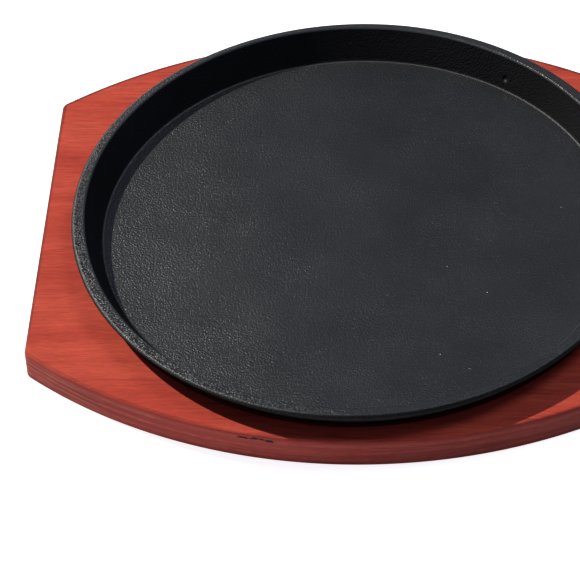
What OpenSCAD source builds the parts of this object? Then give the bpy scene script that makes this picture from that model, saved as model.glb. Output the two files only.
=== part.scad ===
// Round cast iron sizzle platter seated in a routed plywood base.
// Origin: centre of the base's underside. +X runs to a straight end of the base, +Z is up.

/* [Platter] */
// Diameter over the rim
platter_d = 230; // [180:1:320]
// Height from the underside to the top of the rim
platter_h = 15.5; // [12:0.1:30]
// Width of the rim, from its outer edge to the hollow
rim_w = 4.8; // [4:0.1:9]
// How far the rim's top falls from the hollow to its outer slope
rim_fall = 0.1; // [0.1:0.1:1.5]
// Width of the slope round the outside of the rim, which falls at 45 degrees
rim_slope_w = 1; // [0.6:0.1:2.5]
// Thickness of the floor
floor_t = 3.5; // [2.5:0.1:6]
// Width of the wall where it meets the floor, measured level
wall_foot_w = 3.3; // [3:0.1:8]
// Draft of the inside of the wall, in degrees from upright
wall_draft = 29.5; // [5:0.5:45]

/* [Platter rounding] */
// Radius of the fillet between the floor and the wall
floor_fillet_r = 1.5; // [1:0.1:6]
// Radius of the foot, where the wall turns under
foot_r = 3; // [1:0.1:4]
// Radius of the eased edges of the rim
rim_edge_r = 0.4; // [0.2:0.1:1]

/* [Wooden base] */
// How far each straight end stands out past the rim
end_margin = 12.5; // [2:0.5:40]
// How far each bowed side stands out past the rim, at the middle
side_margin = 2.5; // [0:0.5:30]
// Radius of the bowed sides
side_bow_r = 205; // [190:1:400]
// Thickness of the board
base_t = 13; // [10:0.5:25]
// Radius of the upright corners
corner_r = 4; // [3:0.5:15]
// Radius of the eased edge round the top
top_edge_r = 1.8; // [0.5:0.1:2.5]
// Radius of the eased edge round the underside
under_edge_r = 1; // [0.5:0.1:2.5]

/* [Seat] */
// Depth of the round recess that the platter sits in
recess_depth = 4.5; // [2:0.5:7]
// Gap between the platter and the recess at the top of the board
recess_gap = 1.7; // [0.2:0.1:3]
// Chamfer round the mouth of the recess
mouth_chamfer = 0.5; // [0.2:0.1:1]

/* [Hidden] */
$fn = 180;
// Overlap of a cutter past the face that it opens
cut = 1;
// How far an arc that blends two sides overlaps each of them
arc_overlap = 0.005;

// The platter's section, in its own height: radius across, height up from its underside
rim_r = platter_d / 2;
lip_r = rim_r - rim_w;
slope_r = rim_r - rim_slope_w;
slope_z = platter_h - rim_fall;
edge_z = slope_z - rim_slope_w;
function inner_wall_r(z) = lip_r - (platter_h - z) * tan(wall_draft);
floor_r = inner_wall_r(floor_t);
// Slope of the outside of the wall: radius gained for each millimetre of height
outer_slope = (rim_r - floor_r - wall_foot_w) / (edge_z - floor_t);
function outer_wall_r(z) = rim_r - (edge_z - z) * outer_slope;
// Height of the rim's top, carried on inward past the hollow's edge
function rim_top_z(r) = slope_z + rim_fall * (slope_r - r) / (slope_r - lip_r);

// The board's outline, and where the platter stands in it
half_l = rim_r + end_margin;
half_w = rim_r + side_margin;
bow_centre_y = side_bow_r - half_w;
corner_x = half_l - corner_r;
corner_y = sqrt(pow(side_bow_r - corner_r, 2) - pow(corner_x, 2)) - bow_centre_y;
recess_r = outer_wall_r(recess_depth) + recess_gap;
recess_floor_z = base_t - recess_depth;

// Corner b of an outline that comes from a and goes on to c, rounded to radius r
function unit(v) = v / norm(v);
function corner_angle(a, b, c) = acos(unit(a - b) * unit(c - b));
function tangent_point(b, towards, angle, r) = b + unit(towards - b) * r / tan(angle / 2);
function arc_centre(a, b, c, r) =
    b + unit(unit(a - b) + unit(c - b)) * r / sin(corner_angle(a, b, c) / 2);

// What is cut off a sharp corner to round it: the kite between the corner, its two
// tangent points and the centre of its arc, less the arc
module spandrel(a, b, c, r) {
    angle = corner_angle(a, b, c);
    centre = arc_centre(a, b, c, r);
    past_corner = b + unit(b - centre) * cut;
    difference() {
        polygon([tangent_point(b, a, angle, r), past_corner, tangent_point(b, c, angle, r), centre]);
        translate(centre) circle(r + arc_overlap);
    }
}

// A closed convex outline with true arcs at its corners, each given as [x, y, corner radius]
module rounded_outline(corners) {
    points = [for (corner = corners) [corner.x, corner.y]];
    last = len(points) - 1;
    difference() {
        polygon(points);
        for (i = [0 : last])
            if (corners[i].z > 0)
                spandrel(points[i == 0 ? last : i - 1], points[i],
                    points[i == last ? 0 : i + 1], corners[i].z);
    }
}

// Half section of the outside of the dish: foot, drafted wall, and the rim's slope and top
module outside_section() {
    inner_r = lip_r - cut;
    rounded_outline([
        [0, 0, 0],
        [outer_wall_r(0), 0, foot_r],
        [rim_r, edge_z, rim_edge_r],
        [slope_r, slope_z, rim_edge_r],
        [inner_r, rim_top_z(inner_r), 0],
        [0, rim_top_z(inner_r), 0]
    ]);
}

// Half section of the hollow: floor, fillet and drafted wall, up past the rim
module hollow_section() {
    rounded_outline([
        [0, floor_t, 0],
        [floor_r, floor_t, floor_fillet_r],
        [inner_wall_r(platter_h + cut), platter_h + cut, 0],
        [0, platter_h + cut, 0]
    ]);
}

// Half section of what comes off the edge between the rim's top and the hollow
module lip_section() {
    spandrel([slope_r, slope_z], [lip_r, platter_h], [floor_r, floor_t], rim_edge_r);
}

// One iron casting, standing on the floor of the recess
module platter() {
    color("#2b2d2f")
        translate([0, 0, recess_floor_z])
            difference() {
                rotate_extrude() outside_section();
                rotate_extrude() hollow_section();
                rotate_extrude() lip_section();
            }
}

// Half section of a round blank with eased edges, from its axis out to radius r
module blank_section(r) {
    rounded_outline([
        [0, 0, 0],
        [r, 0, under_edge_r],
        [r, base_t, top_edge_r],
        [0, base_t, 0]
    ]);
}

// Round blank of the board's thickness, with eased edges
module round_blank(r) {
    rotate_extrude() blank_section(r);
}

// The slab between the two straight ends, with eased edges along them
module end_to_end_slab() {
    rotate([90, 0, 0])
        linear_extrude(height = 2 * half_w + 2 * cut, center = true)
            rounded_outline([
                [-half_l, 0, under_edge_r],
                [half_l, 0, under_edge_r],
                [half_l, base_t, top_edge_r],
                [-half_l, base_t, top_edge_r]
            ]);
}

// What is sawn off one upright corner: the wedge between the lines from the centre of
// its arc to where that arc meets the straight end and the bowed side, less the arc.
// x and y are 1 or -1, and say which corner it is
module corner_waste(x, y) {
    to_end = [x, 0];
    to_bow = unit([x * corner_x, y * (corner_y + bow_centre_y)]);
    past_corner = [x, y];
    reach = 2 * corner_r;
    translate([x * corner_x, y * corner_y, 0])
        difference() {
            translate([0, 0, -cut])
                linear_extrude(height = base_t + 2 * cut)
                    polygon([[0, 0], to_end * reach, past_corner * reach, to_bow * reach]);
            round_blank(corner_r + arc_overlap);
        }
}

// Board before its recess: two bowed sides, two straight ends and four rounded corners
module board() {
    difference() {
        intersection() {
            end_to_end_slab();
            translate([0, -bow_centre_y, 0]) round_blank(side_bow_r);
            translate([0, bow_centre_y, 0]) round_blank(side_bow_r);
        }
        for (x = [-1, 1], y = [-1, 1])
            corner_waste(x, y);
    }
}

// The recess, with the chamfer round its mouth
module recess_cutter() {
    translate([0, 0, recess_floor_z])
        cylinder(r = recess_r, h = recess_depth + cut);
    translate([0, 0, base_t - mouth_chamfer])
        cylinder(r1 = recess_r, r2 = recess_r + mouth_chamfer + cut, h = mouth_chamfer + cut);
}

// One plywood board, stained all over
module wooden_base() {
    color("#c04038")
        difference() {
            board();
            recess_cutter();
        }
}

wooden_base();
platter();
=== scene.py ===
# %% [markdown]
# # A cast iron sizzle platter in its plywood base
#
# The real object is two things: a shallow iron dish that is heated on the stove, and a red
# stained plywood board that carries it to the table. The solids come from the packed frame.
# Here they get the surfaces that a photograph shows: cast grain, a thin skin of burnt-on oil,
# stained veneer on the flat faces, and the ends of the plies round the edge.

# %% Load the frame
import math

import bmesh
import bpy
from mathutils import Matrix, Vector, noise


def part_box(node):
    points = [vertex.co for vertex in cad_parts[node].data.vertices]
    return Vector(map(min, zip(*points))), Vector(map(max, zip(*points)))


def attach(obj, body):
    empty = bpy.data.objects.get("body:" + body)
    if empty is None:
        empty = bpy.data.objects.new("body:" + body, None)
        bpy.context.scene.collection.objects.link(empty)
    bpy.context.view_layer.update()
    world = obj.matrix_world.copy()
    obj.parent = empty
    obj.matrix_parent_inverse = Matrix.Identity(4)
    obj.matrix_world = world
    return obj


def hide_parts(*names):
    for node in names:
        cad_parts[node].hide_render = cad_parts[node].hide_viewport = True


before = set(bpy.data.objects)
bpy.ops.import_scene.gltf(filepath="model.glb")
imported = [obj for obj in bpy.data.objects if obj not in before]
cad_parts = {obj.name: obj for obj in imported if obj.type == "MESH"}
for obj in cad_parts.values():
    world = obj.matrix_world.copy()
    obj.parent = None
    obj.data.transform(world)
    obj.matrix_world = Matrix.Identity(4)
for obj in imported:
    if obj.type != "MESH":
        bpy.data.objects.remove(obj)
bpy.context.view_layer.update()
scene = bpy.context.scene
MM = 0.001

# %% [markdown]
# ## Sizes
#
# The board's outline and thickness, and the height at which the dish stands, come from the two
# nodes' boxes, so that the dressed pieces stay where the solids are. The other sizes are the ones
# that the solids were drawn with, in metres. Four roundings are an exception, and follow the
# photograph rather than the drawing: the two edges of the rim land, and the board's upper and
# lower edge.

# %% Sizes, from the frame and from the drawing
dish_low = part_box("platter")[0]
board_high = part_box("wooden_base")[1]

DISH_BOTTOM = dish_low.z
HALF_L = board_high.x
HALF_W = board_high.y
BOARD_TOP = board_high.z

RIM_R = 115 * MM
PLATTER_H = 15.5 * MM
RIM_W = 4.8 * MM
RIM_FALL = 0.1 * MM
RIM_SLOPE_W = 1 * MM
FLOOR_T = 3.5 * MM
WALL_FOOT_W = 3.3 * MM
WALL_DRAFT = math.radians(29.5)
FLOOR_FILLET = 1.5 * MM
FOOT_R = 3 * MM
RIM_EDGE = 0.4 * MM
LIP_EDGE = 0.5 * MM
RIDGE_EDGE = 1 * MM
BOW_R = 205 * MM
CORNER_R = 4 * MM
TOP_EDGE = 1.4 * MM
UNDER_EDGE = 0.6 * MM
RECESS_GAP = 1.7 * MM
MOUTH_CHAMFER = 0.5 * MM
print("dish stands at", round(DISH_BOTTOM / MM, 2), "mm, board is", round(BOARD_TOP / MM, 2), "mm thick")

# %% What follows from them
FLOOR_TOP = DISH_BOTTOM + FLOOR_T
RIM_TOP = DISH_BOTTOM + PLATTER_H
LIP_R = RIM_R - RIM_W
RIDGE_R = RIM_R - RIM_SLOPE_W
RIDGE_Z = RIM_TOP - RIM_FALL
EDGE_Z = RIDGE_Z - RIM_SLOPE_W
FLOOR_R = LIP_R - (RIM_TOP - FLOOR_TOP) * math.tan(WALL_DRAFT)
OUTER_SLOPE = (RIM_R - FLOOR_R - WALL_FOOT_W) / (EDGE_Z - FLOOR_TOP)


def outer_wall_r(z):
    return RIM_R - (EDGE_Z - z) * OUTER_SLOPE


FOOT_OUTER_R = outer_wall_r(DISH_BOTTOM)
RECESS_R = outer_wall_r(BOARD_TOP) + RECESS_GAP
print("rim radius", round(RIM_R, 4), "floor radius", round(FLOOR_R, 4), "recess radius", round(RECESS_R, 4))

# %% [markdown]
# ## Camera
#
# The rim's ellipse and the board's straight and bowed edges fix a camera: a long lens looks
# down at 45 degrees, and cuts off the object's right side. Lengths of the fit are in rim radii,
# measured from the middle of the board's top.

# %% Camera at the photograph's viewing angle
IMAGE_SIDE = 580
FOCAL_PX = 3078.8
SENSOR = 36.0
CAMERA_AZIMUTH = math.radians(-5.13)
CAMERA_DROP = math.radians(44.81)
CAMERA_ROLL = math.radians(-2.99)
CAMERA_DISTANCE = 10.589 * RIM_R
AIM = Vector((-0.2216 * RIM_R, -0.3186 * RIM_R, BOARD_TOP))

forward = Vector((math.sin(CAMERA_AZIMUTH) * math.cos(CAMERA_DROP),
                  math.cos(CAMERA_AZIMUTH) * math.cos(CAMERA_DROP),
                  -math.sin(CAMERA_DROP)))
level_right = forward.cross(Vector((0, 0, 1))).normalized()
level_up = level_right.cross(forward)
right = level_right * math.cos(CAMERA_ROLL) + level_up * math.sin(CAMERA_ROLL)
up = level_up * math.cos(CAMERA_ROLL) - level_right * math.sin(CAMERA_ROLL)

camera_data = bpy.data.cameras.new("camera")
camera_data.sensor_width = SENSOR
camera_data.lens = FOCAL_PX * SENSOR / IMAGE_SIDE
camera = bpy.data.objects.new("camera", camera_data)
turn = Matrix((right, up, -forward)).transposed()
camera.matrix_world = Matrix.Translation(AIM - forward * CAMERA_DISTANCE) @ turn.to_4x4()
scene.collection.objects.link(camera)
scene.camera = camera
print("lens", round(camera_data.lens, 1), "mm at", [round(v, 3) for v in camera.location])

# %% [markdown]
# ## Drawing a material with arithmetic
#
# A finish is a recipe: take a place on the piece, make some noise there, mix two colours by it.
# Wiring nodes by hand hides the recipe, so one small class wraps a socket and lets Python's
# operators add the Math nodes. Colours and vectors never go through Math, which would turn a
# colour grey: they have their own Mix and Vector Math calls.

# %% One class for shader arithmetic
class Value:
    """A number that varies over a surface: one output socket of a finish's nodes."""

    def __init__(self, finish, socket):
        self.finish = finish
        self.socket = socket

    def math(self, operation, *others):
        return self.finish.add("ShaderNodeMath", {"operation": operation}, dict(enumerate((self, *others))))

    def __add__(self, other):
        return self.math("ADD", other)

    def __sub__(self, other):
        return self.math("SUBTRACT", other)

    def __rsub__(self, other):
        return (self * -1) + other

    def __mul__(self, other):
        return self.math("MULTIPLY", other)

    def __truediv__(self, other):
        return self.math("DIVIDE", other)

    def __abs__(self):
        return self.math("ABSOLUTE")

    __radd__ = __add__
    __rmul__ = __mul__

    def larger(self, other):
        return self.math("MAXIMUM", other)

    def smooth(self, low, high):
        """0 at low, 1 at high, flat beyond them, and an even ease between them."""
        return self.finish.add("ShaderNodeMapRange", {"interpolation_type": "SMOOTHSTEP", "clamp": True},
                               {"Value": self, "From Min": low, "From Max": high})


print("a value also has", [name for name in vars(Value) if not name.startswith("_")])

# %% One class for a finish
# A Mix node has sockets for every kind of data, and these are its two colours and their result
MIX_LOW = 6
MIX_HIGH = 7
MIX_COLOUR = 2
PEBBLE_REACH = 0.85


class Finish:
    """A material under construction. add() is the one way to get a node."""

    def __init__(self, name):
        self.material = bpy.data.materials.new(name)
        self.material.use_nodes = True
        self.tree = self.material.node_tree
        self.tree.nodes.clear()

    def add(self, kind, settings=None, sockets=None, output=0):
        node = self.tree.nodes.new(kind)
        for name, setting in (settings or {}).items():
            setattr(node, name, setting)
        for key, value in (sockets or {}).items():
            if isinstance(value, Value):
                self.tree.links.new(value.socket, node.inputs[key])
            else:
                node.inputs[key].default_value = value
        return Value(self, node.outputs[output])

    def place(self):
        """Where the surface is on the piece, in metres."""
        return self.add("ShaderNodeTexCoord", output="Object")

    def scaled(self, vector, x, y, z):
        return self.add("ShaderNodeVectorMath", {"operation": "MULTIPLY"}, {0: vector, 1: (x, y, z)})

    def shifted(self, vector, x, y, z):
        return self.add("ShaderNodeVectorMath", {"operation": "ADD"}, {0: vector, 1: (x, y, z)})

    def length(self, vector):
        return self.add("ShaderNodeVectorMath", {"operation": "LENGTH"}, {0: vector}, output=1)

    def axis(self, vector, name):
        return self.add("ShaderNodeSeparateXYZ", sockets={0: vector}, output=name)

    def combined(self, x, y, z):
        return self.add("ShaderNodeCombineXYZ", sockets={0: x, 1: y, 2: z})

    def noise(self, vector, scale=1.0, detail=2.0, roughness=0.5):
        """Fractal noise from 0 to 1, around 0.5."""
        return self.add("ShaderNodeTexNoise", {"noise_dimensions": "3D"},
                        {"Vector": vector, "Scale": scale, "Detail": detail, "Roughness": roughness})

    def pebbles(self, vector, scale):
        """Rounded heaps round scattered points: 1 on top of each, and down to 0 between them."""
        distance = self.add("ShaderNodeTexVoronoi", {"feature": "F1"}, {"Vector": vector, "Scale": scale})
        return distance.smooth(PEBBLE_REACH, 0)

    def spot(self, vector, centre, radius):
        """1 at a place on the piece, easing to 0 at radius from it."""
        distance = self.add("ShaderNodeVectorMath", {"operation": "DISTANCE"},
                            {0: vector, 1: centre}, output=1)
        return distance.smooth(radius, 0)

    def dash(self, vector, centre, reach, half_width, keep):
        """A spot drawn out along X, as far as reach. keep holds a number for Y and one for Z: 1 where
        the dash is half_width thick, and 0 where it runs right through the piece."""
        squash = (half_width / reach, *keep)
        middle = [share * along for share, along in zip(squash, centre)]
        return self.spot(self.scaled(vector, *squash), middle, half_width)

    def blend(self, factor, low, high):
        """The colour low where factor is 0, and high where it is 1."""
        return self.add("ShaderNodeMix", {"data_type": "RGBA"},
                        {0: factor, MIX_LOW: low, MIX_HIGH: high}, output=MIX_COLOUR)

    def tint(self, colour, shade):
        """A colour made lighter or darker by a number."""
        grey = self.add("ShaderNodeCombineColor", sockets={0: shade, 1: shade, 2: shade})
        return self.add("ShaderNodeMix", {"data_type": "RGBA", "blend_type": "MULTIPLY"},
                        {0: 1.0, MIX_LOW: colour, MIX_HIGH: grey}, output=MIX_COLOUR)

    def bump(self, height, depth, under=None):
        """A Bump node for a height in 0 to 1 that stands for depth metres."""
        sockets = {"Height": height, "Distance": depth, "Strength": 1.0}
        if under is not None:
            sockets["Normal"] = under
        return self.add("ShaderNodeBump", sockets=sockets)

    def shader(self, **sockets):
        """One layer of the surface: a Principled shader."""
        named = {name.replace("_", " "): value for name, value in sockets.items()}
        return self.add("ShaderNodeBsdfPrincipled", sockets=named)

    def finished(self, shader):
        """The material, with a shader as its surface."""
        end = self.tree.nodes.new("ShaderNodeOutputMaterial")
        self.tree.links.new(shader.socket, end.inputs["Surface"])
        return self.material


def linear(r, g, b):
    """A colour as the eye reads it on a screen, 0 to 255, as the shader wants it."""
    def channel(c):
        c = c / 255
        return c / 12.92 if c <= 0.04045 else ((c + 0.055) / 1.055) ** 2.4
    return (channel(r), channel(g), channel(b), 1.0)


print("a white of 255 is", linear(255, 255, 255))

# %% [markdown]
# ## Light
#
# The shadows tell where the light comes from. The rim throws one crisp shadow across the front of
# the board, from a slightly warm lamp at the left and behind, 43 degrees up. A broad, bluish and
# much weaker light, like a window at the right and behind, lights half of that shadow again, and
# throws a soft one of its own to the left. Almost nothing else lights the board's top. Its front
# edge is lit by the white table.

# %% Two lamps and a faint fill
KEY_FROM = Vector((-0.631, 0.363, 0.686))
KEY_LEVEL = 3.3
KEY_ANGLE = math.radians(1.4)
KEY_COLOUR = (1.0, 0.97, 0.93)
WINDOW_FROM = Vector((0.427, 0.260, 0.866))
WINDOW_LEVEL = 0.54
WINDOW_ANGLE = math.radians(26)
WINDOW_COLOUR = (0.95, 1.03, 1.15)
FILL_LEVEL = 0.10
FILL_COLOUR = (0.95, 1.05, 1.6, 1)


def hang_lamp(name, towards, level, angle, colour):
    """A lamp so far away that it lights every piece from the same side."""
    data = bpy.data.lights.new(name, "SUN")
    data.energy = level
    data.color = colour
    data.angle = angle
    lamp = bpy.data.objects.new(name, data)
    lamp.rotation_mode = "QUATERNION"
    lamp.rotation_quaternion = towards.to_track_quat("Z", "Y")
    scene.collection.objects.link(lamp)


hang_lamp("key", KEY_FROM, KEY_LEVEL, KEY_ANGLE, KEY_COLOUR)
hang_lamp("window", WINDOW_FROM, WINDOW_LEVEL, WINDOW_ANGLE, WINDOW_COLOUR)

world = bpy.data.worlds.new("studio")
world.use_nodes = True
scene.world = world
world.node_tree.nodes["Background"].inputs["Color"].default_value = FILL_COLOUR
world.node_tree.nodes["Background"].inputs["Strength"].default_value = FILL_LEVEL
print("key lamp", round(math.degrees(math.asin(KEY_FROM.normalized().z)), 1), "degrees up")

# %% [markdown]
# The table is white in its own colour, and looks plain white because it also glows for the camera
# and for reflections. That glow lights nothing, and the table keeps its shadow. It lies a hair
# below the board, because two faces in one plane would both show, in patches.

# %% White table
FLOOR_SIDE = 8.0
FLOOR_DROP = 0.05 * MM
FLOOR_GREY = 0.88
FLOOR_GLOW = 0.85

floor_finish = Finish("white_floor")
floor_white = (FLOOR_GREY, FLOOR_GREY, FLOOR_GREY, 1)
matt_white = floor_finish.add("ShaderNodeBsdfDiffuse", sockets={"Color": floor_white})
from_camera, from_gloss, from_glass = (floor_finish.add("ShaderNodeLightPath", output=f"Is {ray} Ray")
                                       for ray in ("Camera", "Glossy", "Transmission"))
seen = from_camera.larger(from_gloss).larger(from_glass)
glow = floor_finish.add("ShaderNodeEmission", sockets={"Strength": seen * FLOOR_GLOW})
floor_finish.finished(floor_finish.add("ShaderNodeAddShader", sockets={0: matt_white, 1: glow}))

floor_mesh = bpy.data.meshes.new("floor")
floor_bm = bmesh.new()
bmesh.ops.create_grid(floor_bm, x_segments=1, y_segments=1, size=FLOOR_SIDE / 2)
floor_bm.to_mesh(floor_mesh)
floor_bm.free()
floor_mesh.materials.append(floor_finish.material)
floor = bpy.data.objects.new("floor", floor_mesh)
floor.location.z = -FLOOR_DROP
scene.collection.objects.link(floor)
print("table", FLOOR_SIDE, "m wide,", round(FLOOR_DROP / MM, 2), "mm below the board")

# %% [markdown]
# ## Seasoned iron
#
# The dish is cast in sand, and its skin keeps the grain of the mould: rounded grains a little
# under a millimetre across, coarser at the near left, with a few pinholes and pimples. Oil burnt
# onto it makes it nearly black, and what grey shows is mostly the dull gloss of that skin. The
# wall and the outside of the rim are duller still, as if covered with soot. How strongly a surface
# mirrors stays one number for a whole shader, because the export drops a linked one. So skin and
# soot get a shader each, and a mask mixes them.
#
# The masks come first. Each is 1 in its zone and eases to 0 round it. Those that follow an edge of
# the form take their limits from the dish's own radii and heights.

# %% Where on the dish
def above_floor(mm):
    return FLOOR_TOP + mm * MM


def below_rim(mm):
    return RIM_TOP - mm * MM


class DishZones:
    """The masks of the dish, by where the surface is on it."""

    def __init__(self, f):
        self.place = f.place()
        x, y, z = (f.axis(self.place, name) for name in "XYZ")
        radius = f.length(f.scaled(self.place, 1, 1, 0))
        past_lip = radius.smooth(LIP_R, LIP_R + 1 * MM)
        self.near_left = (x * -1 + y * -0.1).smooth(-15 * MM, 90 * MM)
        self.near_right = (x + y * -0.4).smooth(0, 60 * MM)
        self.level = (z.smooth(above_floor(0.08), above_floor(0.01))
                      + z.smooth(below_rim(0.2), below_rim(0.08)))
        self.wall = (z.smooth(above_floor(0.02), above_floor(0.35))
                     * z.smooth(below_rim(0.4), below_rim(0.9)))
        self.lip = (z.smooth(below_rim(0.08), below_rim(0.2)) * z.smooth(below_rim(0.8), below_rim(0.4))
                    * radius.smooth(RIDGE_R - 0.2 * MM, RIDGE_R - 1 * MM))
        self.outside = (radius + self.near_right * 0.6 * MM).smooth(RIDGE_R, RIDGE_R + RIM_SLOPE_W * 0.6)
        self.near_rim = (past_lip * z.smooth(below_rim(0.5), below_rim(0.1)) * self.near_left
                         * (1 - y.smooth(-10 * MM, 50 * MM) * 0.75))
        self.back_rim = past_lip * y.smooth(-20 * MM, 60 * MM)


print("floor at", round(above_floor(0) / MM, 2), "mm, rim at", round(below_rim(0) / MM, 2), "mm")

# %% [markdown]
# The relief of the skin is all bump: the grain, a finer roughness, slow waves of the casting, and
# a few marks that are placed one by one where the photograph has them. The scale of a noise says
# how many times it comes and goes in a metre.

# %% Relief of the iron
GRAIN_PER_M = 1400
GRAIN_ROUGHNESS = 0.55
PEBBLES_PER_M = 1200
PEBBLE_SHARE = 0.4
FINE_PER_M = 3000
SWELL_PER_M = 60
GRAIN_DEPTH = 0.27 * MM
WALL_GRAIN_DEPTH = 0.50 * MM
FINE_DEPTH = 0.06 * MM
SWELL_DEPTH = 0.10 * MM
MARK_DEPTH = 0.5 * MM
COARSE = 0.56
COARSER_LEFT = 0.36
COARSER_SWELL = 0.6
FINER_FAR_EDGE = 0.65

# X, Y, Z and reach of each pinhole in the wall, in mm, and its depth in MARK_DEPTHs
PINHOLES = ((-7.2, 107.5, 19.05, 0.9, 1.2), (58.9, 87.6, 16.1, 1.9, 2.2))
# X and Y of each pimple on the floor, in mm, and what all of them reach and rise
PIMPLES = ((36.7, -21.1), (82.2, 13.7), (52.7, -35.5), (44.0, -93.5),
           (46.1, -77.1), (34.8, -69.8), (-82.3, -24.1))
PIMPLE_R = 0.6 * MM
PIMPLE_RISE = 0.5


def cast_grain(f, zones):
    soft = f.noise(zones.place, GRAIN_PER_M, roughness=GRAIN_ROUGHNESS)
    return soft * (1 - PEBBLE_SHARE) + f.pebbles(zones.place, PEBBLES_PER_M) * PEBBLE_SHARE


def iron_relief(f, zones, grain):
    """The normals of the skin and of the soot, and a mask of the pinholes."""
    swell = f.noise(zones.place, SWELL_PER_M)
    fine = f.noise(f.shifted(zones.place, 0.3, 0.1, 0.2), FINE_PER_M, detail=1)
    marks = 0
    pitted = 0
    for x, y, z, reach, deep in PINHOLES:
        hole = f.spot(zones.place, (x * MM, y * MM, z * MM), reach * MM)
        marks = marks - hole * deep
        pitted = pitted + hole
    for x, y in PIMPLES:
        marks = marks + f.spot(zones.place, (x * MM, y * MM, FLOOR_TOP), PIMPLE_R) * PIMPLE_RISE
    waves = f.bump(marks, MARK_DEPTH, under=f.bump(swell, SWELL_DEPTH))
    coarse = COARSE + zones.near_left * COARSER_LEFT + (swell - 0.5) * COARSER_SWELL
    far_edge = (1 - zones.level) * (1 - zones.near_left)
    skin_normal = f.bump(grain * coarse * (1 - far_edge * FINER_FAR_EDGE), GRAIN_DEPTH, under=waves)
    skin_normal = f.bump(fine, FINE_DEPTH, under=skin_normal)
    soot_normal = f.bump(grain, WALL_GRAIN_DEPTH, under=waves)
    return skin_normal, soot_normal, pitted


print(len(PINHOLES), "pinholes and", len(PIMPLES), "pimples")

# %% [markdown]
# Colour varies little: patches of oil, grey metal on the lip of the hollow, partly rubbed and partly
# a painted highlight along the lip, and single grains on the rim at the near left painted lighter,
# partly rubbed and partly painted glints. Most of the look is in the gloss.

# %% Tones of the iron
OIL_PER_M = 30
OIL_DARK = linear(17, 17, 18)
OIL_PALE = linear(24, 24, 26)
WORN_LIP_AND_HIGHLIGHT = linear(72, 73, 76)
RUBBED_GRAIN_AND_GLINT = linear(84, 85, 88)
RUBBED_AND_GLINT_SHARE = 0.8
IRON_IOR = 1.8
SKIN_TINT = (0.93, 0.94, 0.89, 1)
SKIN_ROUGHNESS = 0.34
ROUGHER_LEFT = 0.045
ROUGHER_BACK_RIM = 0.07
ROUGHER_OIL = 0.08
EDGE_ROUGHNESS = 0.55
SOOT_ROUGHNESS = 0.8
SOOT_GLOSS = 0.1
WALL_SOOT = 0.97
WALL_SOOT_RIGHT = 0.06
PINHOLE_SOOT = 0.5
OUTSIDE_SOOT = 0.75
OUTSIDE_SOOT_RIGHT = 0.2
HOLLOW_SOOT = 0.6


def iron_colour(f, zones, grain, oil):
    colour = f.blend(oil.smooth(0.3, 0.7), OIL_DARK, OIL_PALE)
    # the lip is painted lighter: rubbed metal, and partly a painted highlight along the lip
    colour = f.blend(zones.lip, colour, WORN_LIP_AND_HIGHLIGHT)
    # grain tops on the rim at the near left are painted lighter: partly rubbed metal, partly painted glints
    # where the lamp catches them
    return f.blend(grain.smooth(0.45, 0.65) * zones.near_rim * RUBBED_AND_GLINT_SHARE, colour, RUBBED_GRAIN_AND_GLINT)


def skin_roughness(zones, oil):
    level = (SKIN_ROUGHNESS + zones.near_left * ROUGHER_LEFT + zones.back_rim * ROUGHER_BACK_RIM
             + (oil - 0.5) * ROUGHER_OIL)
    return level * zones.level + (1 - zones.level) * EDGE_ROUGHNESS


def soot_cover(zones, grain, pitted):
    """How much soot hides the skin: on the wall, outside the rim, and between the lightened grains."""
    on_wall = zones.wall * (WALL_SOOT - zones.near_right * WALL_SOOT_RIGHT - pitted * PINHOLE_SOOT)
    on_outside = zones.outside * (OUTSIDE_SOOT + zones.near_right * OUTSIDE_SOOT_RIGHT)
    in_hollows = zones.near_rim * grain.smooth(0.48, 0.34) * HOLLOW_SOOT
    return on_wall.larger(on_outside).larger(in_hollows)


def seasoned_iron():
    f = Finish("seasoned_iron")
    zones = DishZones(f)
    grain = cast_grain(f, zones)
    oil = f.noise(f.shifted(zones.place, 0.7, 0.4, 0.0), OIL_PER_M, detail=4, roughness=0.6)
    skin_normal, soot_normal, pitted = iron_relief(f, zones, grain)
    colour = iron_colour(f, zones, grain, oil)
    skin = f.shader(Base_Color=colour, Roughness=skin_roughness(zones, oil), Normal=skin_normal,
                    IOR=IRON_IOR, Specular_Tint=SKIN_TINT)
    soot = f.shader(Base_Color=colour, Roughness=SOOT_ROUGHNESS, Normal=soot_normal,
                    Specular_IOR_Level=SOOT_GLOSS)
    cover = soot_cover(zones, grain, pitted)
    return f.finished(f.add("ShaderNodeMixShader", sockets={0: cover, 1: skin, 2: soot}))


iron = seasoned_iron()
print("finish", iron.name, len(iron.node_tree.nodes), "nodes")

# %% [markdown]
# ## The dish
#
# It could be cut from the solid, but a turned section is closer to how the pattern for the mould
# is made: draw half the section once, spin it about its axis, and bevel each ring of edges to its
# own radius. Close beside each corner the section gets two more points. They keep the flat
# parts' shading flat, because a bevel's rounded shading ends at the next ring.

# %% Helpers for building pieces
HOLD = 0.3 * MM
SAME_PLACE = 0.001 * MM
RING_REACH = 0.02 * MM
SMOOTH_ANGLE = math.radians(40)


def ring_edges(bm, radius, height):
    """The edges of one spun ring."""
    def on_ring(v):
        return abs(math.hypot(v.co.x, v.co.y) - radius) < RING_REACH and abs(v.co.z - height) < RING_REACH
    return [e for e in bm.edges if on_ring(e.verts[0]) and on_ring(e.verts[1])]


def round_edges(bm, edges, radius, between, segments):
    """Bevels edges to an arc. between is the angle of the material at the edge, in radians."""
    bmesh.ops.bevel(bm, geom=edges, offset=radius / math.tan(between / 2), offset_type="OFFSET",
                    segments=segments, profile=0.5, affect="EDGES", material=-1, clamp_overlap=False)


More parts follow.
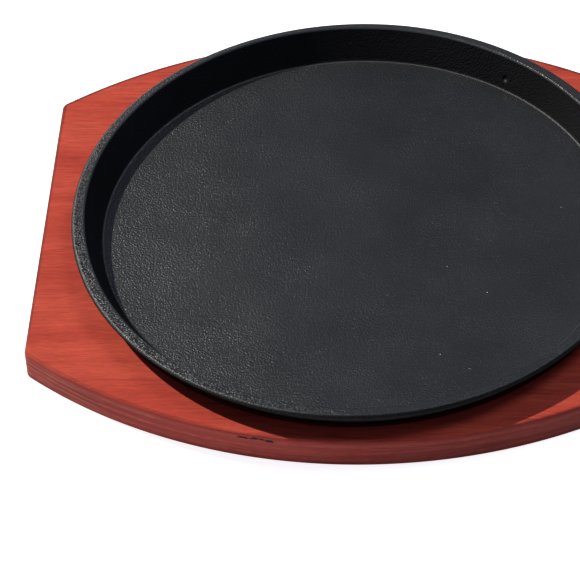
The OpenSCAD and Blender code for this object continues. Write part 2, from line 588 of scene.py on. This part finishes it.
def finish_piece(name, bm, material):
    """Turns a bmesh into a piece that stands at the origin and rides on the body."""
    mesh = bpy.data.meshes.new(name)
    bm.to_mesh(mesh)
    bm.free()
    mesh.materials.append(material)
    piece = bpy.data.objects.new(name, mesh)
    scene.collection.objects.link(piece)
    for polygon in mesh.polygons:
        polygon.use_smooth = True
    mesh.set_sharp_from_angle(angle=SMOOTH_ANGLE)
    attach(piece, "root")
    print(name, len(mesh.vertices), "vertices", len(mesh.polygons), "faces")
    return piece


print("a rounded edge is held", round(HOLD / MM, 2), "mm away")

# %% Half the section: each corner with its radius and the number of steps in its arc
SPIN_STEPS = 720
CORNERS = [((FLOOR_R, FLOOR_TOP), FLOOR_FILLET, 6), ((LIP_R, RIM_TOP), LIP_EDGE, 5),
           ((RIDGE_R, RIDGE_Z), RIDGE_EDGE, 4), ((RIM_R, EDGE_Z), RIM_EDGE, 4),
           ((FOOT_OUTER_R, DISH_BOTTOM), FOOT_R, 6)]
corner_points = [Vector(corner) for corner, radius, steps in CORNERS]
path = [Vector((0, FLOOR_TOP)), *corner_points, Vector((0, DISH_BOTTOM))]
section = [path[0]]
rounding = []
for before, here, after, (corner, radius, steps) in zip(path, path[1:], path[2:], CORNERS):
    between = (before - here).angle(after - here)
    hold = radius / math.tan(between / 2) + HOLD
    section += [here + (before - here).normalized() * hold, here, here + (after - here).normalized() * hold]
    rounding.append((here, radius, between, steps))
section.append(path[-1])
print(len(section), "points, corners of", [round(math.degrees(r[2])) for r in rounding], "degrees")

# %% Spin the section, and round its rings
dish = bmesh.new()
points = [dish.verts.new((p.x, 0, p.y)) for p in section]
lines = [dish.edges.new(pair) for pair in zip(points, points[1:])]
bmesh.ops.spin(dish, geom=points + lines, axis=(0, 0, 1), cent=(0, 0, 0), dvec=(0, 0, 0),
               angle=2 * math.pi, steps=SPIN_STEPS, use_merge=True)
bmesh.ops.remove_doubles(dish, verts=dish.verts, dist=SAME_PLACE)
for corner, radius, between, steps in rounding:
    round_edges(dish, ring_edges(dish, corner.x, corner.y), radius, between, steps)
bmesh.ops.recalc_face_normals(dish, faces=dish.faces)
print("rings rounded,", len(dish.faces), "faces")

# %% [markdown]
# The hollow of the real casting isn't a true circle: the rim is narrower at the back left, by up
# to 1.9 mm, and a little wider at the left. So the edge of the hollow is pushed about, and the
# wall leans with it, while the outer edge and the floor stay as they are. A slight tremble is
# added, which is read from a noise along a circle, so that it closes on itself.

# %% Push the hollow's edge out of true
# The middle of each stray and its reach to both sides, in degrees, and how far it goes
STRAYS = ((115, 75, 1.9 * MM), (-158, 35, -0.5 * MM))
TREMBLE = 0.25 * MM
TREMBLE_CIRCLE = 3
TREMBLE_LAYER = 0.5


def lip_stray(azimuth):
    """How far outward the hollow's edge stands at an azimuth in radians."""
    x = math.cos(azimuth) * TREMBLE_CIRCLE
    y = math.sin(azimuth) * TREMBLE_CIRCLE
    stray = noise.noise(Vector((x, y, TREMBLE_LAYER))) * TREMBLE
    for centre, reach, most in STRAYS:
        away = abs((math.degrees(azimuth) - centre + 180) % 360 - 180) / reach
        stray += most * math.cos(min(away, 1) * math.pi / 2) ** 2
    return stray


for v in dish.verts:
    r = math.hypot(v.co.x, v.co.y)
    if FLOOR_TOP < v.co.z and r < LIP_R + LIP_EDGE + HOLD:
        share = (v.co.z - FLOOR_TOP) / (RIM_TOP - FLOOR_TOP)
        v.co.xy *= (r + lip_stray(math.atan2(v.co.y, v.co.x)) * share) / r
print("stray at the back left", round(lip_stray(math.radians(120)) / MM, 2), "mm")

# %% Finish the dish
platter_piece = finish_piece("iron_platter", dish, iron)
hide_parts("platter")

# %% [markdown]
# ## Stained plywood
#
# Plywood is a stack of veneers, glued with the grain of each across the next. On the top and the
# underside lies one veneer, with its fibres along X: broad bands of tone, long and fine streaks,
# and short dark pores in some of the bands. Each is one noise, drawn out along the fibres by
# scaling X less than Y: a scale of 65 by 900 makes streaks about 15 mm long and 1 mm wide. The
# fibres wander a little, so Y is bent by slow noises first.

# %% Streaks and pores of the veneer
FIBRE_DRIFT = 8 * MM
FIBRE_WAVE = 0.6 * MM


class Veneer:
    """The noises of the outer veneer, all along the same bent fibres."""

    def __init__(self, f, place):
        x, y, z = (f.axis(place, name) for name in "XYZ")
        drift = f.noise(place, 14) - 0.5
        wave = f.noise(f.scaled(place, 60, 200, 60), detail=1) - 0.5
        lie = f.combined(x, y + drift * FIBRE_DRIFT + wave * FIBRE_WAVE, z)
        self.bands = f.noise(f.scaled(lie, 10, 120, 40), detail=3, roughness=0.6)
        self.clouds = f.noise(f.scaled(lie, 30, 50, 40), detail=3)
        self.long_streaks = f.noise(f.scaled(lie, 65, 900, 300), detail=4, roughness=0.75)
        self.fine_streaks = f.noise(f.scaled(lie, 300, 2300, 900))
        pore_bands = f.noise(f.scaled(lie, 16, 170, 60)).smooth(0.42, 0.6)
        self.pores = f.noise(f.scaled(lie, 60, 1500, 500)).smooth(0.56, 0.68) * pore_bands


print("fibres wander by up to", round((FIBRE_DRIFT + FIBRE_WAVE) / 2 / MM, 1), "mm")

# %% Colour of the flat faces
FACE_RED = linear(203, 81, 60)
FACE_DEEP = linear(184, 66, 49)
PORE = linear(112, 34, 32)
PORE_SHARE = 0.4
PLACED_SHARE = 0.45
# Darker streaks that the photograph shows: X, Y, reach along the fibres and half width, in mm
STREAKS = ((-119, 39.5, 8, 1.6), (-117, 58.8, 9, 1.0), (-92, -47.8, 6, 1.0), (-120, -63.1, 8, 1.3),
           (-115, -13.5, 7, 1.3), (-124, 22, 6, 1.2))


def face_colour(f, place, veneer):
    placed = 0
    for x, y, reach, half_width in STREAKS:
        placed = placed + f.dash(place, (x * MM, y * MM, 0), reach * MM, half_width * MM, keep=(1, 0))
    colour = f.blend(veneer.bands.smooth(0.3, 0.68), FACE_DEEP, FACE_RED)
    colour = f.tint(colour, 0.22 + veneer.long_streaks + veneer.fine_streaks * 0.5 + veneer.clouds * 0.1)
    colour = f.blend(veneer.pores * PORE_SHARE, colour, PORE)
    return f.blend(placed * veneer.long_streaks.smooth(0.42, 0.58) * PLACED_SHARE, colour, PORE)


print(len(STREAKS), "streaks placed by hand")

# %% [markdown]
# Round the edge the height tells the ply. Plies along the edge show as long streaks, and the ones
# across it as short specks, with a dark glue line between them here and there. There is little
# contrast between them, except at the left end, because cut ends drink more stain. Towards the
# right the edge is painted darker than the lamps make it: painted shade, for light that reaches it
# less there.

# %% Plies
PLY_COUNT = 7
PLY_T = BOARD_TOP / PLY_COUNT


class Plies:
    """The layers of the edge, by height, and the fibres that each shows."""

    def __init__(self, f, place, z):
        sway = f.noise(place, 12) * 0.5 + f.noise(place, 90, detail=1) * 0.1
        ply = z / PLY_T + (sway - 0.3)
        self.even = ply.math("FLOOR").math("FLOORED_MODULO", 2)
        self.along = f.noise(f.scaled(place, 45, 45, 1000), detail=4, roughness=0.8)
        across = f.noise(f.scaled(place, 260, 260, 900), detail=3, roughness=0.65)
        self.fibre = self.even * across + (1 - self.even) * self.along
        self.patchy = f.noise(f.scaled(place, 28, 28, 60)).smooth(0.35, 0.65)
        self.pits = f.noise(f.scaled(place, 160, 160, 1500)).smooth(0.6, 0.7) * (0.2 + self.patchy * 0.5)
        self.thin = f.noise(f.scaled(place, 24, 24, 850), detail=3, roughness=0.75)
        self.glue = abs(ply.math("FRACT") - 0.5).smooth(0.42, 0.5) * (0.15 + self.patchy * 0.35)


print(PLY_COUNT, "plies of", round(PLY_T / MM, 2), "mm")

# %% Colour of the edge
PLY_LIGHT = linear(200, 90, 76)
PLY_DARK = linear(172, 62, 56)
ALONG_DARK = linear(116, 46, 42)
GLUE = linear(100, 32, 34)
END_LIGHT = linear(190, 130, 96)
END_DARK = linear(122, 44, 42)
# the gaps are not cut: their hollows are painted dark, as painted shade
VOID_PAINTED_SHADE = linear(30, 4, 4)
# Gaps in a ply that show at the front: X, height from the board's top and reach along X, in mm
VOIDS = ((-39.5, -2.2, 3.4), (-34.3, -2.0, 4.6), (-29.4, -2.4, 2.8))
VOID_HALF = 0.85 * MM
VOID_RAGGED = 1.8 * MM


def edge_colour(f, place, veneer, plies):
    x, y, z = (f.axis(place, name) for name in "XYZ")
    left_end = x.smooth(-50 * MM, -120 * MM)
    contrast = 0.25 + left_end * 0.35 + plies.patchy * 0.3
    colour = f.blend(0.5 + (plies.even - 0.5) * contrast, PLY_DARK, PLY_LIGHT)
    streaked = 0.38 + plies.fibre + veneer.clouds * 0.2
    # painted shade: the edge darkens towards the right, where less light reaches it
    painted_shade_right = 1 - x.smooth(-60 * MM, 40 * MM) * 0.34 - x.smooth(20 * MM, 60 * MM) * 0.06
    colour = f.tint(colour, streaked * painted_shade_right * (1 - plies.pits * 0.25))
    colour = f.blend(plies.along.smooth(0.6, 0.72) * 0.5, colour, ALONG_DARK)
    drunk = 0.15 + left_end * 0.5
    colour = f.blend(plies.thin.smooth(0.52, 0.62) * drunk, colour, END_LIGHT)
    colour = f.blend(plies.thin.smooth(0.47, 0.38) * drunk, colour, END_DARK)
    colour = f.blend(plies.glue, colour, GLUE)
    ragged = f.noise(f.scaled(place, 600, 600, 900))
    bent = f.combined(x, y, z + (ragged - 0.5) * VOID_RAGGED)
    at_front = y.smooth(-100 * MM, -110 * MM)
    for px, pz, reach in VOIDS:
        void = f.dash(bent, (px * MM, 0, BOARD_TOP + pz * MM), reach * MM, VOID_HALF, keep=(0, 1))
        colour = f.blend((void * at_front).smooth(0.1, 0.4), colour, VOID_PAINTED_SHADE)
    return colour


print(len(VOIDS), "gaps at the front")

# %% [markdown]
# Face and edge meet on the rounded edges. There the stain is darker in a narrow line, which has to
# know how far a point lies inside the outline. The outline is two straight ends and two arcs, so
# that distance is the smaller of two short sums.

# %% The plywood's finish
ARRIS_DARK = 0.55
ARRIS_WIDER_BACK = 0.6 * MM
LINE_IN = 1 * MM
LINE_DARK = 0.3
RIGHT_PAINTED_SHADE = 0.12
WOOD_ROUGHNESS = 0.6
WOOD_GLOSS = 0.14
STREAK_DEPTH = 0.07 * MM
FINE_STREAK_DEPTH = 0.04 * MM


def inside_outline(f, x, y):
    """How far a point is from the board's outline, in metres."""
    from_end = HALF_L - abs(x)
    from_bow = BOW_R - f.length(f.combined(x, abs(y) + (BOW_R - HALF_W), 0))
    return from_end.math("MINIMUM", from_bow)


def edge_shade(f, x, y, z):
    """How much the upper edge is darker: all round but at the front, and a thin line there."""
    from_edge = inside_outline(f, x, y)
    front = y.smooth(-55 * MM, -70 * MM)
    back = y.smooth(50 * MM, 80 * MM)
    arris = ((from_edge - back * ARRIS_WIDER_BACK).smooth(1.7 * MM, 0.9 * MM)
             * z.smooth(BOARD_TOP - 2.7 * MM, BOARD_TOP - 1.8 * MM))
    line = (abs(from_edge - LINE_IN).smooth(0.5 * MM, 0.1 * MM)
            * (z - BOARD_TOP / 2).smooth(0, 1 * MM))
    front_left = front * x.smooth(-30 * MM, -80 * MM)
    return arris * (1 - front) * ARRIS_DARK + line * front_left * LINE_DARK


def stained_plywood():
    f = Finish("stained_plywood")
    place = f.place()
    x, y, z = (f.axis(place, name) for name in "XYZ")
    veneer = Veneer(f, place)
    plies = Plies(f, place, z)
    flat = z.smooth(BOARD_TOP - 0.9 * MM, BOARD_TOP - 0.2 * MM) + z.smooth(0.8 * MM, 0.2 * MM)
    colour = f.blend(flat, edge_colour(f, place, veneer, plies), face_colour(f, place, veneer))
    # painted shade: the whole board darkens towards the right, as if the lamp fell off there
    painted_shade_right = 1 - x.smooth(20 * MM, 100 * MM) * RIGHT_PAINTED_SHADE
    colour = f.tint(colour, (1 - edge_shade(f, x, y, z)) * painted_shade_right)
    relief = flat * (veneer.long_streaks * 0.7 - veneer.pores * 0.6) + (1 - flat) * plies.fibre
    normal = f.bump(veneer.fine_streaks, FINE_STREAK_DEPTH, under=f.bump(relief, STREAK_DEPTH))
    roughness = WOOD_ROUGHNESS + (veneer.long_streaks - 0.5) * 0.2
    return f.finished(f.shader(Base_Color=colour, Roughness=roughness, Normal=normal,
                               Specular_IOR_Level=WOOD_GLOSS))


plywood = stained_plywood()
print("finish", plywood.name, len(plywood.node_tree.nodes), "nodes")

# %% [markdown]
# ## The board
#
# A carpenter saws the outline, rounds the edges over, and routs the recess for the dish. The mesh
# goes the same way: half the front outline is spun, an arc at a time, mirrored to a closed loop
# and pushed down to a slab. The edges are bevelled while the top is still one face, because a
# bevel follows a clean outline best, and then the top is filled again round the recess.

# %% Outline of the board, arc by arc
BOW_STEPS = 90
CORNER_STEPS = 8
END_STEPS = 24
bow_centre = Vector((0, BOW_R - HALF_W, 0))
corner_centre = Vector((HALF_L - CORNER_R, 0, 0))
corner_centre.y = bow_centre.y - math.sqrt((BOW_R - CORNER_R) ** 2 - corner_centre.x ** 2)
bow_half_angle = math.asin(corner_centre.x / (BOW_R - CORNER_R))

board = bmesh.new()
tip = [board.verts.new((0, -HALF_W, BOARD_TOP))]


def only(kind, geometry):
    """What is of one kind, vertices or edges, in the mixed list that an operator returns."""
    return [item for item in geometry if isinstance(item, kind)]


def spin_on(bm, start, centre, angle, steps):
    """Spins one vertex about an upright axis, and returns the last vertex of the arc."""
    made = bmesh.ops.spin(bm, geom=start, axis=(0, 0, 1), cent=centre, dvec=(0, 0, 0),
                          angle=angle, steps=steps)
    return only(bmesh.types.BMVert, made["geom_last"])


tip = spin_on(board, tip, bow_centre, bow_half_angle, BOW_STEPS)
tip = spin_on(board, tip, corner_centre, math.pi / 2 - bow_half_angle, CORNER_STEPS)
end_run = -tip[0].co.y / END_STEPS
for step in range(END_STEPS):
    grown = bmesh.ops.extrude_vert_indiv(board, verts=tip)
    tip = grown["verts"]
    bmesh.ops.translate(board, verts=tip, vec=(0, end_run, 0))
for mirror_axis in "XY":
    bmesh.ops.mirror(board, geom=board.verts[:] + board.edges[:], axis=mirror_axis, merge_dist=SAME_PLACE)
outline = board.edges[:]
for v in board.verts:
    v.co.x = max(-HALF_L, min(HALF_L, v.co.x))
print("outline of", len(outline), "edges, corner at", [round(v, 4) for v in corner_centre])

# %% Slab with eased edges
TOP_EDGE_STEPS = 5
UNDER_EDGE_STEPS = 4
bmesh.ops.contextual_create(board, geom=outline)
slab = bmesh.ops.extrude_face_region(board, geom=board.faces[:], use_keep_orig=True)
lower = only(bmesh.types.BMVert, slab["geom"])
bmesh.ops.translate(board, verts=lower, vec=(0, 0, -BOARD_TOP))
bmesh.ops.recalc_face_normals(board, faces=board.faces)


def level_edges(edges, z):
    return [e for e in edges if all(abs(v.co.z - z) < SAME_PLACE for v in e.verts)]


round_edges(board, level_edges(board.edges, BOARD_TOP), TOP_EDGE, math.pi / 2, TOP_EDGE_STEPS)
round_edges(board, level_edges(board.edges, 0), UNDER_EDGE, math.pi / 2, UNDER_EDGE_STEPS)
for height in (UNDER_EDGE + HOLD, BOARD_TOP - TOP_EDGE - HOLD):
    bmesh.ops.bisect_plane(board, geom=board.verts[:] + board.edges[:] + board.faces[:], dist=SAME_PLACE,
                           plane_co=(0, 0, height), plane_no=(0, 0, 1))
flat_faces = sorted(board.faces, key=lambda face: -face.calc_area())[:2]
for face in flat_faces:
    bmesh.ops.inset_region(board, faces=[face], thickness=HOLD, use_even_offset=True)
print("slab of", len(board.faces), "faces")

# %% Recess for the dish
MOUTH_STEPS = 360
top_face = max(board.faces, key=lambda face: (round(face.calc_center_median().z, 6), face.calc_area()))
top_loop = list(top_face.edges)
bmesh.ops.delete(board, geom=[top_face], context="FACES_ONLY")

mouth = bmesh.ops.create_circle(board, segments=MOUTH_STEPS, radius=RECESS_R + MOUTH_CHAMFER,
                                matrix=Matrix.Translation((0, 0, BOARD_TOP)))
mouth_loop = list({e for v in mouth["verts"] for e in v.link_edges})
bmesh.ops.triangle_fill(board, edges=top_loop + mouth_loop, use_beauty=True, normal=(0, 0, 1))
for radius, z in ((RECESS_R, BOARD_TOP - MOUTH_CHAMFER), (RECESS_R, DISH_BOTTOM)):
    sunk = bmesh.ops.extrude_edge_only(board, edges=mouth_loop)["geom"]
    for v in only(bmesh.types.BMVert, sunk):
        v.co = Vector((v.co.x, v.co.y, 0)).normalized() * radius + Vector((0, 0, z))
    mouth_loop = level_edges(only(bmesh.types.BMEdge, sunk), z)
bmesh.ops.contextual_create(board, geom=mouth_loop)
bmesh.ops.recalc_face_normals(board, faces=board.faces)
open_edges = [e for e in board.edges if len(e.link_faces) != 2]
print("board", len(board.faces), "faces,", len(open_edges), "open edges")

# %% Finish the board
board_piece = finish_piece("plywood_base", board, plywood)
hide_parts("wooden_base")

# %% View transform, and finish
scene.view_settings.view_transform = "Standard"
bpy.context.view_layer.update()
